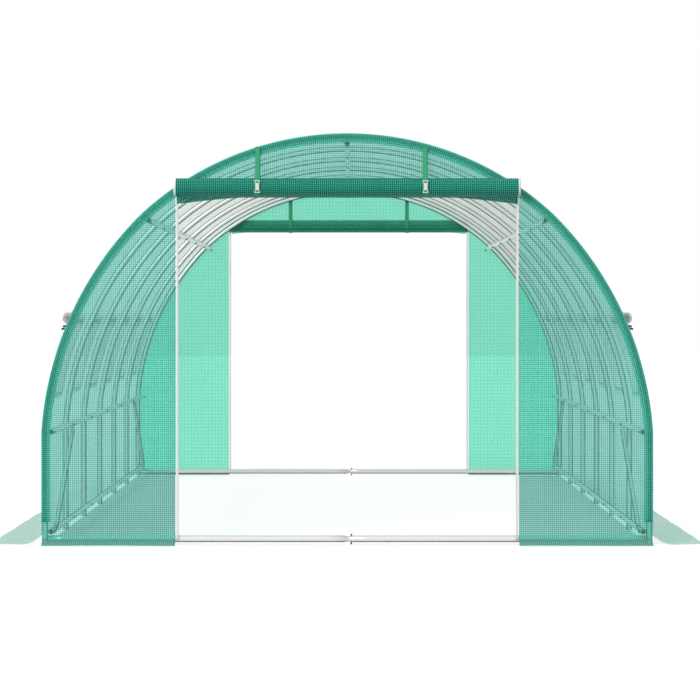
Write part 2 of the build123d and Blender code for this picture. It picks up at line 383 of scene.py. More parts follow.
rollFilm = makeFilm("rolledFilm", (0.0, 0.042, 0.030), (0.045, 0.74, 0.53), 0.985, 1.0, glow=0.1,
                    shadowAlpha=1.0)
# The front door's hem is a darker copy of the gable film: painted shade of the roll above it.
shadedHemFilm = makeFilm("doorHemShadedFilm", (0.012, 0.17, 0.13), (0.10, 0.50, 0.40), 0.60, 0.85,
                       tint=(0.5, 0.9, 0.8))
skirtFilm = makeFilm("skirtFilm", (0.09, 0.34, 0.28), (0.30, 0.62, 0.54), 0.45, 0.75, tint=(0.8, 0.95, 0.9))
flapFilm = makeFilm("rolledWindowFlap", (0.88, 0.75, 0.80), (0.95, 0.88, 0.91), 0.90, 1.0, glow=0.45)
tapeWeave = makeWeave("zipTape", (0.97, 0.98, 0.975), (0.84, 0.87, 0.86), 0.0012)
strapWeave = makeWeave("strapWebbing", (0.03, 0.42, 0.20), (0.01, 0.20, 0.09), 0.0016)
tieWeave = makeWeave("blackTie", (0.03, 0.03, 0.03), (0.01, 0.01, 0.01), 0.0012)
meshNet = makeNet("insectMesh", (0.80, 0.82, 0.80), 0.0018, 0.0005)
bucklePlastic = makePlastic("bucklePlastic", (0.80, 0.81, 0.80))
zipPlastic = makePlastic("zipTeeth", (0.82, 0.83, 0.82))
print("materials made")


# Frame of tubes

# Half of the cross-section line moved out by a distance: a leg, an arc for the haunch and an arc for the
# crown, each sampled evenly. The points run from the foot up to the ridge.
def halfLine(distance, steps, bottom):
    knee = np.array([hoop["halfSpan"], hoop["legHeight"]])
    shoulder = np.array([hoop["shoulderHalf"], hoop["shoulderHeight"]])
    chord = shoulder - knee
    inward = np.array([-chord[1], chord[0]]) / np.linalg.norm(chord)
    reach = math.sqrt(hoop["haunchRadius"] ** 2 - (np.linalg.norm(chord) / 2) ** 2)
    centre = (knee + shoulder) / 2 + inward * reach
    start = math.atan2(*(knee - centre)[::-1])
    end = math.atan2(*(shoulder - centre)[::-1])
    crownCentre = np.array([0.0, hoop["crownHeight"] - crownRadius])
    crownStart = math.atan2(*(shoulder - crownCentre)[::-1])
    legPart = pointGrid(knee[0] + distance, np.linspace(bottom, knee[1], steps[0], endpoint=False))
    turn = np.linspace(start, end, steps[1], endpoint=False)
    haunchPart = centre + (hoop["haunchRadius"] + distance) * pointGrid(np.cos(turn), np.sin(turn))
    turn = np.linspace(crownStart, np.pi / 2, steps[2])
    crownPart = crownCentre + (crownRadius + distance) * pointGrid(np.cos(turn), np.sin(turn))
    return np.concatenate([legPart, haunchPart, crownPart])


# The whole line from the right foot over the ridge to the left foot, as (x, z).
def archLine(distance, steps, bottom=0.0):
    right = halfLine(distance, steps, bottom)
    return np.concatenate([right, right[-2::-1] * [-1, 1]])


def arcLength(line):
    return np.concatenate([[0.0], np.cumsum(np.linalg.norm(np.diff(line, axis=0), axis=1))])


# The points of a line at these distances along it.
def pointsAt(places, length, line):
    return pointGrid(np.interp(places, length, line[:, 0]), np.interp(places, length, line[:, 1]))


# A hoop tube's radius is the tube's; at each joint, where one length is pushed over the next, a rolled lip
# stands a little proud. The sides towards the film and towards the inside are darkened: painted shade that
# outlines each tube.
def makeHoops():
    steps = (14, 34, 34)
    line = archLine(0.0, steps)
    length = arcLength(line)
    last = len(line) - 1
    joints = length[[steps[0], steps[0] + steps[1], len(line) // 2, last - steps[0] - steps[1],
                     last - steps[0]]]
    lips = (joints[:, None] + np.array([-2, -1, 1, 2]) * hoop["lipLength"] / 2).ravel()
    places = np.unique(np.concatenate([length, lips]))
    across, height = pointsAt(places, length, line).T
    away = np.abs(places[:, None] - joints[None]).min(1)
    radii = hoop["tubeRadius"] + hoop["lipHeight"] * (away < hoop["lipLength"] * 0.75)
    grid = tubeGrid(pointGrid(across, 0.0, height), radii, hoop["sides"])
    # Painted shade: the tube darkens towards its sides that face the film and the inside.
    tone = smoothStep(np.abs(np.cos(fullTurn(hoop["sides"]))), *hoop["paintedShade"])
    for number, y in enumerate(hoopPlaces, 1):
        tubePiece(f"hoopTube{number}", closeEnds(grid + [0, y, 0]), steel, [f"hoop_{number}"], tone)


makeHoops()
print("hoops made")


# Purlins and rails: open tubes along Y. The ring runs out along the outside, turns in at the end and comes
# back a little way along the bore. The bore and the side that faces outward are darkened: painted shade.
purlin = dict(reach=3.013, wall=0.0015, bore=0.25, sides=20, lead=0.0005, rings=58, shade=(0.62, 1.0),
              outward=dict(ridge=(0.0, 1.0), shoulder=(0.8, 0.6), side=(0.8, 0.0), base=(0.5, 0.87)))
purlinNodes = ["ridge_purlin"] + [kind + side for kind in ("shoulder_purlin_", "side_rail_", "base_rail_")
                                  for side, _ in bothSides]


# The middle of a purlin's tube, from the points at its two ends.
def purlinCentre(node):
    low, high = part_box(node)
    points = np.array([vertex.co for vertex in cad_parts[node].data.vertices])
    atEnds = points[np.abs(points[:, 1]) > purlin["reach"] - 0.004]
    middle = (atEnds.min(0) + atEnds.max(0)) / 2
    return middle[0], ((low + high) / 2)[1], middle[2]


def makePurlins():
    outer, inner, reach = hoop["tubeRadius"], hoop["tubeRadius"] - purlin["wall"], purlin["reach"]
    lead, bore, rings = purlin["lead"], purlin["bore"], purlin["rings"]
    depth = np.array([bore, bore, bore - lead, lead, 0, 0, lead])
    radius = np.array([0, inner, inner, inner, inner + lead, outer - lead, outer]) + 1e-5
    along = np.concatenate([-reach + depth, np.linspace(-reach, reach, rings + 2)[1:-1], reach - depth[::-1]])
    around = np.concatenate([radius, np.full(rings, outer), radius[::-1]])[:, None]
    turn = fullTurn(purlin["sides"])
    inBore = (np.abs(along)[:, None] < reach - 2 * lead) & (around < inner + 1e-4)
    for node in purlinNodes:
        x, y, z = purlinCentre(node)
        grid = pointGrid(x + around * np.cos(turn), y + along[:, None], z + around * np.sin(turn))
        outward = purlin["outward"][node.split("_")[0]]
        facing = np.cos(turn) * outward[0] * np.sign(x) + np.sin(turn) * outward[1]
        # Painted shade in the bore and on the side that faces outward.
        tone = np.where(inBore, 1.0, smoothStep(facing, *purlin["shade"]))
        tubePiece(named(*node.split("_")), turnOver(grid, True), steel, [node], turnOver(tone, True))


makePurlins()


# Base tubes: two lengths, the second swaged down to a neck that slides into the first.
baseTube = dict(radius=0.017, neckRadius=0.014, neckStart=-0.011, neckEnd=0.023, lip=0.0006, taper=0.006,
                sides=24, shade=(0.45, 0.95))


def makeBaseTubes():
    reach = hoop["halfSpan"] - hoop["tubeRadius"]
    neck = np.array([baseTube["neckStart"], baseTube["neckStart"] + baseTube["lip"], baseTube["neckEnd"],
                     baseTube["neckEnd"] + baseTube["taper"]])
    x = np.concatenate([np.linspace(-reach, neck[0], 20), neck[1:], np.linspace(neck[3], reach, 20)[1:]])
    onNeck = (x > neck[0] + 1e-6) & (x < neck[3] - 1e-6)
    radii = np.where(onNeck, baseTube["neckRadius"], baseTube["radius"])
    for end, _ in bothEnds:
        low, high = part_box(end + "_base_tube")
        y, z = (low.y + high.y) / 2, (low.z + high.z) / 2
        grid = closeEnds(tubeGrid(pointGrid(x, y, z), radii, baseTube["sides"]))
        # The underside of each base tube is darkened: painted shade.
        tone = smoothStep(z - grid[..., 2], *np.array(baseTube["shade"]) * baseTube["radius"])
        tubePiece(named("baseTube", end), grid, steel, [end + "_base_tube"], tone)


makeBaseTubes()


# Braces: tubes whose ends are pressed flat and bolted to the rails. The ring is an ellipse whose two radii
# part towards each end.
brace = dict(radius=0.011, flat=0.0025, wide=0.016, pressed=0.06, press=1.6, sides=18, inset=0.045,
             nearEnd=(0, 0.012, 0.03, 0.05, 0.07), farEnd=(0.93, 0.95, 0.97, 0.988, 1))


def makeBraces():
    rails = {side: (purlinCentre("base_rail_" + side), purlinCentre("side_rail_" + side))
             for side, _ in bothSides}
    inward = hoop["tubeRadius"] + brace["flat"]
    share = np.concatenate([brace["nearEnd"], np.linspace(0.09, 0.91, 12), brace["farEnd"]])
    turn = fullTurn(brace["sides"])
    for end, sign in bothEnds:
        parts = []
        for side, out in bothSides:
            low, high = rails[side]
            start = np.array([low[0] - out * inward, sign * (hoopPlaces[-1] - brace["inset"]), low[2]])
            stop = np.array([high[0] - out * inward, sign * (hoopPlaces[-2] + brace["inset"]), high[2]])
            path = start + (stop - start) * share[:, None]
            length = np.linalg.norm(stop - start)
            away = np.minimum(share, 1 - share) * length
            press = smoothStep((1 - away / brace["pressed"]) * brace["press"], 0, 1)[:, None, None]
            thick = brace["radius"] + (brace["flat"] - brace["radius"]) * press
            wide = brace["radius"] + (brace["wide"] - brace["radius"]) * press
            along = (stop - start) / length
            across = np.cross(along, [1.0, 0, 0])
            across /= np.linalg.norm(across)
            up = np.cross(across, along)
            parts.append(closeEnds(path[:, None] + np.cos(turn)[None, :, None] * wide * across
                                   + np.sin(turn)[None, :, None] * thick * up))
        # The sides towards the film and towards the inside are darkened: painted shade, as on the hoops.
        tone = smoothStep(np.abs(np.sin(turn)), *hoop["paintedShade"])
        tubePiece(named("brace", end), parts, steel, [end + "_braces"], tone)


makeBraces()
print("tubes made")


# Film

noise = dict(waves=9, slowest=0.5, finest=2.5)


# A slow random surface between -1 and 1: sines of seeded direction and phase added up.
def softNoise(u, v, seed):
    draw = np.random.default_rng(seed)
    total = np.zeros(np.broadcast(u, v).shape)
    for _ in range(noise["waves"]):
        turn, cycles = draw.uniform(0, 2 * np.pi), draw.uniform(noise["slowest"], noise["finest"])
        phase = draw.uniform(0, 2 * np.pi)
        total += np.sin(2 * np.pi * cycles * (u * math.cos(turn) + v * math.sin(turn)) + phase)
    return total / noise["waves"]


tunnel = dict(sag=0.007, wallSag=0.004, tightBelow=0.075, sagStart=0.25, sagRise=0.4, ripple=0.010,
              rippleStart=0.06, rippleRise=0.19, drift=0.012, lift=0.0016, step=0.042, endGap=0.0015,
              windowWidth=0.450, sill=0.732, head=1.084)


# The cover's section runs from the ground on the right, up the wall and over to the ground on the left:
# flat skirt, an arc that leaves the wall, then the arch.
def tunnelSection():
    wall = hoop["halfSpan"] + cover["outside"]
    fall, hem = cover["skirtFall"], cover["wallBottom"]
    radius = (fall ** 2 + hem ** 2) / (2 * hem)
    turn = np.linspace(0, math.acos(1 - hem / radius), 10)[:-1]
    flat = pointGrid(np.linspace(wall + cover["skirtWidth"], wall + fall, 9)[:-1], 0.0)
    curve = pointGrid(wall + fall - radius * np.sin(turn), radius - radius * np.cos(turn))
    right = np.concatenate([flat, curve])
    arch = archLine(cover["outside"], (12, 40, 34), hem)
    return np.concatenate([right, arch, right[::-1] * [-1, 1]]), len(right)


# Between hoops the film lies inside the section by the sag times the squared sine of the way across the
# bay. The skirts lift off the ground in slow waves towards their edges.
def makeTunnelCover():
    section, skirtRows = tunnelSection()
    length = arcLength(section)
    # rows are added where the window openings start and end
    half = len(section) // 2
    rows = []
    for height in (tunnel["sill"], tunnel["head"]):
        place = np.interp(height, section[skirtRows:half, 1], length[skirtRows:half])
        rows += [place, length[-1] - place]
    places = np.sort(np.concatenate([length, rows]))
    section = pointsAt(places, length, section)
    reach = cover["gableDepth"] - tunnel["endGap"]
    halfWindow = tunnel["windowWidth"] / 2
    edges = (bayMiddles[:, None] + [-halfWindow, halfWindow]).ravel()
    y = np.concatenate([np.linspace(-reach, reach, int(2 * reach / tunnel["step"])), edges])
    y = np.unique(np.round(y, 5))
    normal = np.gradient(section, axis=0)
    normal = pointGrid(normal[:, 1], -normal[:, 0]) / np.linalg.norm(normal, axis=1)[:, None]
    above = np.clip((section[:, 1] - tunnel["sagStart"]) / tunnel["sagRise"], 0, 1)
    depth = tunnel["wallSag"] + (tunnel["sag"] - tunnel["wallSag"]) * above
    depth = depth * (section[:, 1] > tunnel["tightBelow"])
    depth = depth[:, None] * (np.sin(np.pi * (y / hoop["bay"])) ** 2)[None]
    depth = depth * (1 + 0.5 * softNoise(places[:, None], y[None], 3))
    outward = np.abs(section[:, 0]) - hoop["halfSpan"] - tunnel["rippleStart"]
    lift = np.clip(outward / tunnel["rippleRise"], 0, 1)[:, None]
    wave = softNoise(places[:, None] * 0.4, y[None] * 1.6, 8) * 0.5 + 0.5
    drift = lift * tunnel["drift"] * softNoise(places[:, None] * 3, y[None], 5)
    height = section[:, 1:] - normal[:, 1:] * depth + lift * wave * tunnel["ripple"] + tunnel["lift"]
    points = pointGrid(section[:, :1] - normal[:, :1] * depth, y + drift, height)
    middleZ = (section[:-1, 1] + section[1:, 1]) / 2
    nearest = np.abs(((y[:-1] + y[1:]) / 2)[:, None] - bayMiddles[None]).min(1)
    inWindow = ((middleZ > tunnel["sill"]) & (middleZ < tunnel["head"]))[:, None] & (nearest < halfWindow)
    uv = pointGrid(y[None], places[:, None])
    nodes = [part + side for part in ("wall_cover_", "haunch_cover_", "roof_cover_", "side_skirt_")
             for side, _ in bothSides]
    piece = gridPiece("tunnelCover", points, keep=~inWindow, uv=uv)
    finishPiece(piece, [outerFilm, innerFilm], nodes, cover["thickness"], 1, -1.0)


makeTunnelCover()


# Gable panels: rows at one height between the zip and the arch, or columns at one width between the door
# head and the arch. Cloth waves stand forward of the hoop only.
gable = dict(depth=3.0168, bandDepth=3.0188, panelDistance=0.0160, wave=0.0016, calm=0.6, bend=1.4,
             headGap=0.002)


# A gable surface a wave's height forward of its depth: the wave times (calm + swell).
def gablePoints(x, height, sign, swell):
    wave = gable["wave"] * (gable["calm"] + swell)
    return pointGrid(x, sign * (gable["depth"] + np.abs(wave)), height)


def makeGables():
    hem = cover["hemHeight"]
    line = halfLine(gable["panelDistance"], (14, 60, 60), hem)
    edge = door["half"] + door["tape"]
    top = np.interp(-edge, -line[:, 0], line[:, 1])
    z = np.concatenate([np.linspace(hem, gable["bend"], 40), np.linspace(gable["bend"], top, 26)[1:]])
    outer = np.interp(z, line[:, 1], line[:, 0])
    x = edge + (outer - edge)[:, None] * np.linspace(0, 1, 26)[None]
    height = z[:, None]
    across = np.linspace(-edge, edge, 70)
    crown = np.interp(-np.abs(across), -line[:, 0], line[:, 1])
    head = np.minimum(door["headHeight"], crown - gable["headGap"])
    headHeight = head[None] + (crown - head)[None] * np.linspace(0, 1, 14)[:, None]
    for end, sign in bothEnds:
        film, rests = (gableFilm, ["hoopTube1"]) if sign < 0 else (rearFilm, ["hoopTube7"])
        for side, out in bothSides:
            swell = softNoise(x * 1.1, height * 0.8, 20 + 2 * sign + out)
            points = turnOver(gablePoints(out * x, height, sign, swell), out * sign > 0)
            piece = gridPiece(named("gablePanel", end, side), points, uv=(0, 2))
            finishPiece(piece, [film], [end + "_panel_" + side], cover["thickness"])
        swell = softNoise(across[None], headHeight, 31 + sign)
        points = turnOver(gablePoints(across[None], headHeight, sign, swell), sign < 0)
        piece = gridPiece(named("gableHead", end), points, uv=(0, 2))
        finishPiece(piece, [film], [end + "_head_panel"], cover["thickness"])


makeGables()


# The seam band: a profile carried along the arch. It lies flat on the gable, turns the corner in a quarter
# circle and runs a little way back over the cover. Its rim is paler, and it is darker where the tube is
# behind it, a painted shade of the tube: tube says how far in from the rim that is.
band = dict(face=dict(front=0.045, rear=0.034), back=0.040, turn=0.005, lift=0.0012, foot=0.112,
            thickness=0.0008, tube=(0.008, 0.027), soft=0.003, fade=0.005, dark=0.7, pale=0.8)


def makeSeamBands():
    outside, turn, depth = cover["outside"] + band["lift"], band["turn"], gable["bandDepth"]
    angle = np.linspace(0, np.pi / 2, 6)
    corner = pointGrid(outside - turn + turn * np.sin(angle), depth - turn + turn * np.cos(angle))
    back = pointGrid(outside, np.linspace(depth - turn, depth - band["back"], 5)[1:])
    (tubeStart, tubeEnd), soft = band["tube"], band["soft"]
    for end, sign in bothEnds:
        face = pointGrid(np.linspace(outside - band["face"][end], outside - turn, 19)[:-1], depth)
        profile = np.concatenate([face, corner, back])
        across = arcLength(profile)
        inward = outside - profile[:, 0]
        tone = smoothStep(inward, tubeStart - soft, tubeStart + soft) \
            * (1 - smoothStep(inward, tubeEnd - band["fade"], tubeEnd + soft))
        tone = band["dark"] * tone - band["pale"] * (inward < tubeStart - soft)
        lines = [archLine(distance, (14, 44, 44), band["foot"]) for distance in profile[:, 0]]
        points = np.stack([pointGrid(line[:, 0], sign * place, line[:, 1])
                           for line, place in zip(lines, profile[:, 1])], 1)
        along = arcLength(lines[-1])
        uv = turnOver(pointGrid(across[None], along[:, None]), sign > 0)
        piece = gridPiece(named("seamBand", end), turnOver(points, sign > 0), uv=uv,
                          tone=turnOver(tone[None], sign > 0))
        finishPiece(piece, [bandFilm], thickness=band["thickness"])


makeSeamBands()
print("film made")


# Rolled doors: an Archimedean spiral of film, radius growing evenly with the turn, drawn out along X.
roll = dict(core=0.008, turns=10, steps=26, filmHalf=0.834, tapeHalf=0.845, bulge=0.0004, sheet=0.0007)


def spiralGrid(core, radius, turns, steps, stations, seed, wobble):
    turn = np.linspace(0, 2 * np.pi * turns, turns * steps)
    reach = (core + (radius - core) * turn / turn[-1])[:, None]
    reach = reach + wobble * softNoise(turn[:, None] * 0.12, stations[None], seed) * (reach / radius)
    points = pointGrid(stations[None], reach * np.cos(turn)[:, None], reach * np.sin(turn)[:, None])
    return points, arcLength(points[:, len(stations) // 2, 1:])


def makeDoorRolls():
    half, filmHalf = roll["tapeHalf"], roll["filmHalf"]
    stations = np.concatenate([[-half], np.linspace(-filmHalf, filmHalf, 40), [half]])
    for end, sign in bothEnds:
        low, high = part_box(end + "_door_roll")
        centre = (low + high) / 2
        radius = (high.z - low.z) / 2 - roll["bulge"]
        points, along = spiralGrid(roll["core"], radius, roll["turns"], roll["steps"], stations, 40 + sign,
                                   roll["bulge"])
        points = points * [1, -sign, 1] + list(centre)
        uv = pointGrid(stations[None], along[:, None])
        piece = gridPiece(named("doorRoll", end), turnOver(points, sign > 0), uv=uv)
        # the roll's two ends are the door's white tape
        mesh = piece.data
        places = np.zeros(len(mesh.vertices) * 3)
        mesh.vertices.foreach_get("co", places)
        corners = np.zeros(len(mesh.loops), np.int32)
        mesh.loops.foreach_get("vertex_index", corners)
        middles = places.reshape(-1, 3)[corners.reshape(-1, 4), 0].mean(1)
        onTape = np.abs(middles - centre.x) > filmHalf + 1e-4
        mesh.polygons.foreach_set("material_index", onTape.astype(np.int32))
        finishPiece(piece, [rollFilm, tapeWeave], [end + "_door_roll"], roll["sheet"])


makeDoorRolls()


# The free edge of each door hangs between its roll and the gable. The straps hold it up between them, and
# beyond them it droops by the power of the way to the end.
looseHem = dict(front=dict(reach=0.833, held=0.52, least=0.004, droop=0.032, power=1.25, top=0.0),
                rear=dict(reach=0.820, held=0.66, least=-0.004, droop=0.016, power=1.4, top=0.70),
                rows=14, gap=0.0008, wave=0.0012)


def makeLooseHem():
    share = np.linspace(0, 1, looseHem["rows"])[:, None]
    for end, sign in bothEnds:
        shape = looseHem[end]
        low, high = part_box(end + "_door_roll")
        radius = (high.z - low.z) / 2
        x = np.linspace(-shape["reach"], shape["reach"], 90)
        away = np.clip((np.abs(x) - shape["held"]) / (shape["reach"] - shape["held"]), 0, 1)
        length = radius * (1 - shape["top"]) + shape["least"] + shape["droop"] * away ** shape["power"]
        wave = looseHem["wave"] * share * (1 + softNoise(x[None] * 3, share, 51))
        depth = sign * (min(abs(low.y), abs(high.y)) + looseHem["gap"] + wave)
        height = (low.z + high.z) / 2 - radius * shape["top"] - share * length[None]
        points = pointGrid(x, depth, height)
        piece = gridPiece(named("doorLooseHem", end), points[::-1] if sign < 0 else points, uv=(0, 2))
        finishPiece(piece, [shadedHemFilm if sign < 0 else rearFilm], thickness=roll["sheet"])


makeLooseHem()
print("door rolls made")


# Straps: a ribbon down the gable, round under the roll and up the inside, each bend tangent to its run.
strap = dict(width=0.024, boxWidth=0.028, thickness=0.0014, clearance=0.0008, stand=0.0036,
             topDrop=0.048, innerDrop=0.085, rise=0.004)


# The strap's line in (forward from the gable sheet, height): the tangent from the top point to the circle
# round the roll, the circle's far side, and the tangent up to the inside.
def strapLine(rollCentre, radius, sheetDepth):
    centre = np.array([rollCentre[0] - sheetDepth, rollCentre[1]])
    innerX = -strap["stand"]
    top = np.array([strap["stand"], hoop["crownHeight"] - strap["topDrop"]])
    rise = top - centre
    outerTurn = math.atan2(rise[1], rise[0]) - math.acos(radius / np.linalg.norm(rise))
    innerTurn = math.pi + math.acos((centre[0] - innerX) / (radius * 2)) - 2 * math.pi
    turn = np.linspace(outerTurn, innerTurn, 40)
    arc = centre + radius * pointGrid(np.cos(turn), np.sin(turn))
    down = top + (arc[0] - top) * np.linspace(0, 1, 12)[:-1, None]
    head = np.array([innerX, centre[1] + strap["rise"]])
    up = arc[-1] + (head - arc[-1]) * np.linspace(0, 1, 10)[1:, None]
    last = np.array([innerX, hoop["crownHeight"] - strap["innerDrop"]])
    return np.concatenate([down, arc, up, head + (last - head) * np.linspace(0, 1, 12)[1:, None]])


def makeStraps():
    across = np.linspace(-strap["width"] / 2, strap["width"] / 2, 5)
    for end, sign in bothEnds:
        low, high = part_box(end + "_straps")
        rollLow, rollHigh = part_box(end + "_door_roll")
        rollCentre = (abs((rollLow.y + rollHigh.y) / 2), (rollLow.z + rollHigh.z) / 2)
        radius = (rollHigh.z - rollLow.z) / 2 + strap["clearance"] + strap["thickness"] / 2
        line = strapLine(rollCentre, radius, gable["depth"])
        uv = pointGrid(across[None], arcLength(line)[:, None])
        half = strap["boxWidth"] / 2
        for side, x in (("Left", low.x + half), ("Right", high.x - half)):
            points = pointGrid(x + across, sign * (gable["depth"] + line[:, :1]), line[:, 1:])
            piece = gridPiece(named("doorStrap", end, side), turnOver(points, sign < 0), uv=uv)
            finishPiece(piece, [strapWeave], [end + "_straps"], strap["thickness"])


makeStraps()


# Zips: a white tape beside each jamb, with a row of teeth along its edge.
zipper = dict(width=0.013, inset=0.0015, forward=0.0022, thickness=0.0012, pitch=0.004, rowEnds=(0.01, 0.03),
              toothPlace=(0.003, 0.001), tooth=(0.0052, 0.0024, 0.0024))


# Boxes of one size as 8 corners and 6 outward faces each, one at each place.
def boxes(places, size):
    signs = np.array([(x, y, z) for x in (-1, 1) for y in (-1, 1) for z in (-1, 1)]) / 2
    faces = np.array([(0, 1, 3, 2), (4, 6, 7, 5), (0, 4, 5, 1), (2, 3, 7, 6), (0, 2, 6, 4), (1, 5, 7, 3)])
    vertices = (places[:, None] + (signs * size)[None]).reshape(-1, 3)
    return vertices, (np.arange(len(places))[:, None, None] * 8 + faces[None]).reshape(-1, 4)


def makeZips():
    inward, forward = zipper["toothPlace"]
    for end, sign in bothEnds:
        low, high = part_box(end + "_zips")
        depth = sign * (gable["depth"] + zipper["forward"])
        z = np.linspace(low.z, high.z, 60)
        heights = np.arange(low.z + zipper["rowEnds"][0], high.z - zipper["rowEnds"][1], zipper["pitch"])
        for side, out in bothSides:
            edge = out * (high.x - door["tape"] + zipper["inset"])
            points = pointGrid(edge + out * np.linspace(0, zipper["width"], 5), depth, z[:, None])
            points = turnOver(points, out * sign > 0)
            piece = gridPiece(named("zipTape", end, side), points, uv=(0, 2))
            finishPiece(piece, [tapeWeave], [end + "_zips"], zipper["thickness"])
            places = pointGrid(edge + out * inward, depth + sign * forward, heights)
            vertices, faces = boxes(places, zipper["tooth"])
            teeth = meshPiece(named("zipTeeth", end, side), vertices, faces, smooth=False)
            finishPiece(teeth, [zipPlastic])


makeZips()


# Windows: insect mesh behind each opening, a border strip round it and the flap rolled up above it.
window = dict(border=0.024, lift=0.0022, meshDepth=0.0020, lap=0.006, thickness=0.0008)


# Points on the haunch at these heights, moved out from the cover by a distance, right side.
def haunchAt(heights, distance):
    line = halfLine(cover["outside"] + distance, (6, 240, 40), 0.2)
    return pointGrid(np.interp(heights, line[:, 1], line[:, 0]), heights)


# Each stretch between two edges cut in equal steps.
def stepsBetween(edges, steps):
    parts = [np.linspace(start, stop, steps + 1)[:-1] for start, stop in zip(edges, edges[1:])]
    return np.concatenate(parts + [edges[-1:]])


def makeWindows():
    half, rim, lap = tunnel["windowWidth"] / 2, window["border"], window["lap"]
    sill, head = tunnel["sill"], tunnel["head"]
    back = haunchAt(np.linspace(sill - lap, head + lap, 12), -window["meshDepth"] - tunnel["wallSag"])
    front = haunchAt(stepsBetween(np.array([sill - rim, sill, head, head + rim]), 4),
                     window["lift"] - tunnel["wallSag"])
    hole = np.ones((12, 18), bool)
    hole[4:8, 6:12] = False
    for side, out in bothSides:
        meshes, borders = [], []
        for middle in bayMiddles:
            y = middle + np.linspace(-half - lap, half + lap, 10)
            meshes.append(turnOver(pointGrid(out * back[:, :1], y, back[:, 1:]), out < 0))
            y = stepsBetween(middle + np.array([-half - rim, -half, half, half + rim]), 6)
            borders.append(turnOver(pointGrid(out * front[:, :1], y, front[:, 1:]), out < 0))
        meshWidth = len(meshes) * (2 * half + 2 * lap)
        for name, grids, material, slot, keep, nodes, width in (
                ("windowMesh", meshes, meshNet, "insect_mesh", None, ["window_mesh_" + side], meshWidth),
                ("windowBorder", borders, bandFilm, "cover_film", hole, [], rim)):
            piece = gridPiece(named(name, side), grids, keep=keep, uv=(1, 2))
            finishPiece(piece, [material], nodes, window["thickness"])


makeWindows()


# Window flaps, rolled up and tied at two places each. A tie's width stands across the roll, and turns on
# edge along its two tails. These are (outward, up) from the roll's middle, each point with its own twist.
flapRoll = dict(core=0.003, turns=9, steps=22, spread=0.0026, inset=0.0008, sheet=0.0014, wobble=0.0010)
tie = dict(places=(-0.21, 0.21), width=0.010, thickness=0.0010, stand=0.0022, loop=(-0.47, 1.30),
           first=((0.031, -0.042), (0.020, -0.040), (0.008, -0.035), (0.001, -0.031)),
           firstTwist=(1, 1, 1, 0.5), lastTwist=(0, 0, 0.7, 1, 1),
           last=((-0.012, -0.036), (0.003, -0.047), (0.012, -0.050), (0.024, -0.0525), (0.038, -0.055)))


def makeWindowRolls():
    turn = np.linspace(tie["loop"][0] * np.pi, tie["loop"][1] * np.pi, 28)
    twist = np.concatenate([tie["firstTwist"], 0 * turn, tie["lastTwist"]])[:, None] * np.pi / 2
    across = np.linspace(-0.5, 0.5, 3) * tie["width"]
    for side, out in bothSides:
        low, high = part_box("window_rolls_" + side)
        radius = (high.z - low.z) / 2 - flapRoll["inset"] + flapRoll["spread"]
        centre = ((low.x + high.x) / 2 + out * flapRoll["spread"], (low.z + high.z) / 2)
        half = (high.y - low.y - hoop["bay"] * (hoop["count"] - 2)) / 2
        loop = pointGrid(np.cos(turn), np.sin(turn)) * (radius + tie["stand"])
        line = np.concatenate([tie["first"], loop, tie["last"]])
        rolls, ties = [], []
        for number, middle in enumerate(bayMiddles):
            points, along = spiralGrid(flapRoll["core"], radius, flapRoll["turns"], flapRoll["steps"],
                                       np.linspace(-half, half, 14), 60 + number, flapRoll["wobble"])
            placed = pointGrid(out * points[..., 1] + centre[0], points[..., 0] + middle,
                               points[..., 2] + centre[1])
            rolls.append(turnOver(placed, out > 0))
            for place in tie["places"]:
                y = middle + place + across * np.cos(twist)
                height = centre[1] + line[:, 1:] + across * np.sin(twist)
                ties.append(turnOver(pointGrid(centre[0] + out * line[:, :1], y, height), out < 0))
        piece = gridPiece(named("windowRoll", side), rolls, uv=(1, 2))
        finishPiece(piece, [flapFilm], ["window_rolls_" + side], flapRoll["sheet"])
        piece = gridPiece(named("windowTies", side), ties, uv=(1, 2))
        finishPiece(piece, [tieWeave], thickness=tie["thickness"])


makeWindowRolls()
print("fittings and windows made")


# Bottom edges: the flap that falls from the gable in an arc and lies forward on the ground.
flap = dict(top=0.024, fall=0.050, width=0.090, inset=0.002, gap=0.0024, lift=0.0012, wave=0.006,
            waveStart=0.04, thickness=0.0009)


def makeGroundFlaps():
    edge, outer = door["half"] + door["tape"], hoop["halfSpan"] + cover["outside"] - flap["inset"]
    radius = (flap["fall"] ** 2 + flap["top"] ** 2) / (2 * flap["top"])
    turn = np.linspace(math.acos(1 - flap["top"] / radius), 0, 8)
    curve = pointGrid(flap["fall"] - radius * np.sin(turn), radius - radius * np.cos(turn))
    flat = pointGrid(np.linspace(flap["fall"], flap["width"], 7)[1:], 0.0)
    line = np.concatenate([curve, flat]) + [0, flap["lift"]]
    forward, height = line[:, :1], line[:, 1:]
    onGround = np.clip((forward - flap["fall"]) / flap["waveStart"], 0, 1)
    for end, sign in bothEnds:
        grids = []
        for _, out in bothSides:
            x = out * np.linspace(edge, outer, 24)
            wave = softNoise(x[None], forward * 4, 70 + sign + out) * 0.5 + 0.5
            grid = pointGrid(x[None], sign * (gable["depth"] + flap["gap"] + forward),
                             height + onGround * flap["wave"] * wave)
            grids.append(turnOver(grid[::-1], out * sign > 0))
        piece = gridPiece(named("groundFlap", end), grids, uv=(0, 1))
        finishPiece(piece, [skirtFilm], [end + "_skirts"], flap["thickness"])


makeGroundFlaps()


# Bolts: at each hoop crossing a nut with the bolt's end, on the side of the purlin away from the hoop, and a
# bolt through the neck of each base tube. Outward is the direction from a purlin to its hoops, as (x, z).
bolt = dict(head=0.0055, headHeight=0.0045, shank=0.0032, end=0.006, sunk=0.0005,
            outward=dict(ridge=(0, 1), shoulder=(0.675, 0.74), side=(1, 0.035), base=(1, 0)))
neckBolt = dict(x=0.020, stand=0.0015, head=0.0052, headHeight=0.005, shank=0.003, end=0.004)


